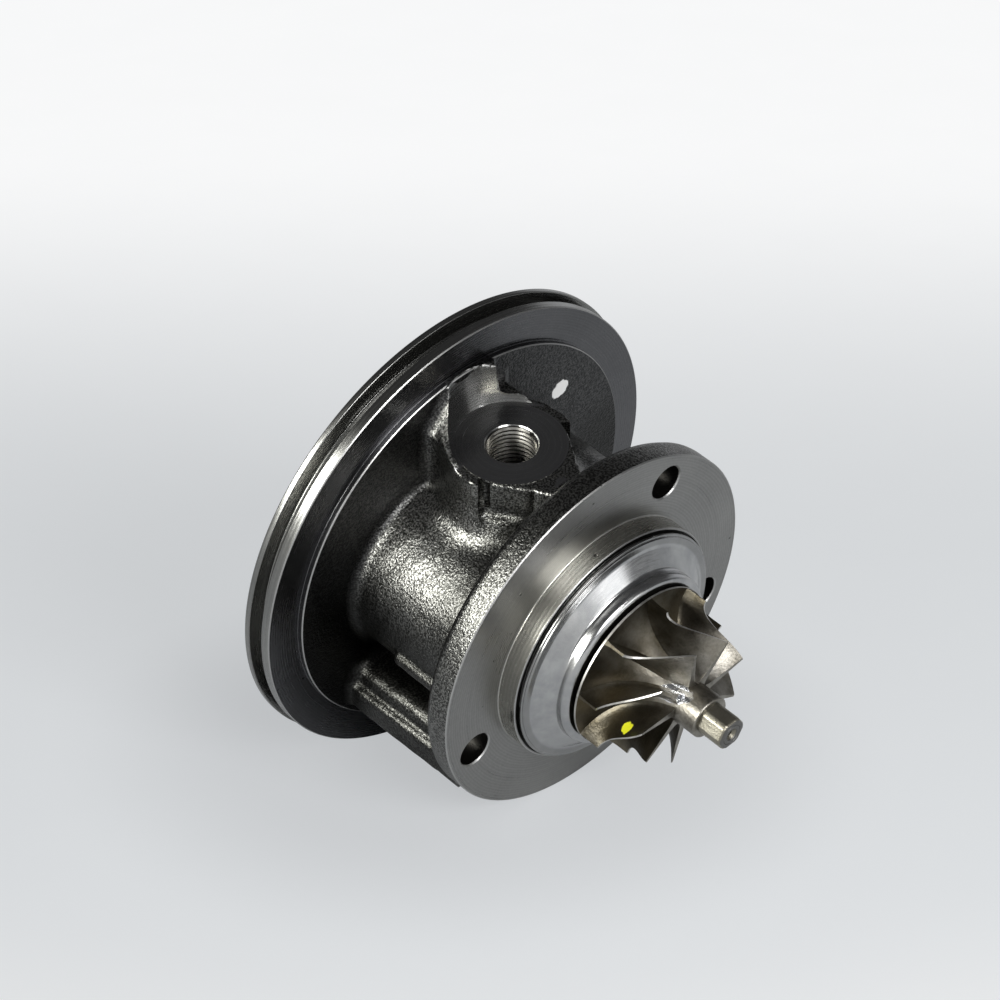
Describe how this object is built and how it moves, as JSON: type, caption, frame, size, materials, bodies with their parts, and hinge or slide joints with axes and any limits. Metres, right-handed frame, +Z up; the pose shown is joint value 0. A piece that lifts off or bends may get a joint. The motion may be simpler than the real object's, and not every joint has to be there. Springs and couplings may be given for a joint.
{
  "type": "turbocharger cartridge",
  "caption": "Turbocharger cartridge: cast bearing housing with turbine flange, seal disc, oil inlet and drain, carrying a free-spinning shaft with turbine and compressor wheels",
  "frame": {"origin": "on the rotor axis at the flat face of the turbine flange, at the foot of the pilot", "axes": "Y is the rotor axis, -Y towards the turbine and +Y towards the compressor; +Z points up out of the oil inlet"},
  "size_m": [0.098, 0.1001, 0.098],
  "materials": {
    "housing_iron": "rough sand casting with turned faces, dark grey",
    "shield_sheet": "bright stamped stainless sheet",
    "turbine_alloy": "investment-cast nickel alloy, warm brown-grey",
    "shaft_steel": "ground steel",
    "ring_iron": "fine-turned grey iron",
    "bearing_bronze": "fine-turned bronze",
    "spring_steel": "blackened spring wire",
    "hardened_steel": "ground and lapped steel",
    "baffle_sheet": "stamped sheet",
    "seal_rubber": "matte black rubber",
    "plate_aluminium": "turned aluminium",
    "wheel_aluminium": "fine-cast aluminium",
    "nut_steel": "plain steel"
  },
  "bodies": {
    "housing": {"bearing_housing": "housing_iron", "heat_shield": "shield_sheet", "turbine_piston_ring": "ring_iron", "turbine_bearing_outer_ring": "spring_steel", "turbine_bearing_inner_ring": "spring_steel", "compressor_bearing_ring": "spring_steel", "thrust_bearing": "bearing_bronze", "thrust_bearing_pins": "hardened_steel", "oil_baffle": "baffle_sheet", "seal_plate": "plate_aluminium", "seal_plate_o_ring": "seal_rubber", "seal_plate_circlip": "spring_steel", "compressor_piston_ring": "ring_iron"},
    "rotor": {"turbine_wheel": "turbine_alloy", "rotor_shaft": "shaft_steel", "thrust_washer": "hardened_steel", "thrust_collar": "hardened_steel", "compressor_wheel": "wheel_aluminium", "shaft_nut": "nut_steel"},
    "turbine_bush": {"turbine_journal_bearing": "bearing_bronze"},
    "compressor_bush": {"compressor_journal_bearing": "bearing_bronze"}
  },
  "joints": [
    {"name": "rotor_spin", "type": "hinge", "parent": "housing", "child": "rotor", "pos_m": [0, 0, 0], "axis": [0, 1, 0], "continuous": true},
    {"name": "turbine_bush_spin", "type": "hinge", "parent": "housing", "child": "turbine_bush", "pos_m": [0, 0, 0], "axis": [0, 1, 0], "continuous": true},
    {"name": "compressor_bush_spin", "type": "hinge", "parent": "housing", "child": "compressor_bush", "pos_m": [0, 0, 0], "axis": [0, 1, 0], "continuous": true}
  ]
}
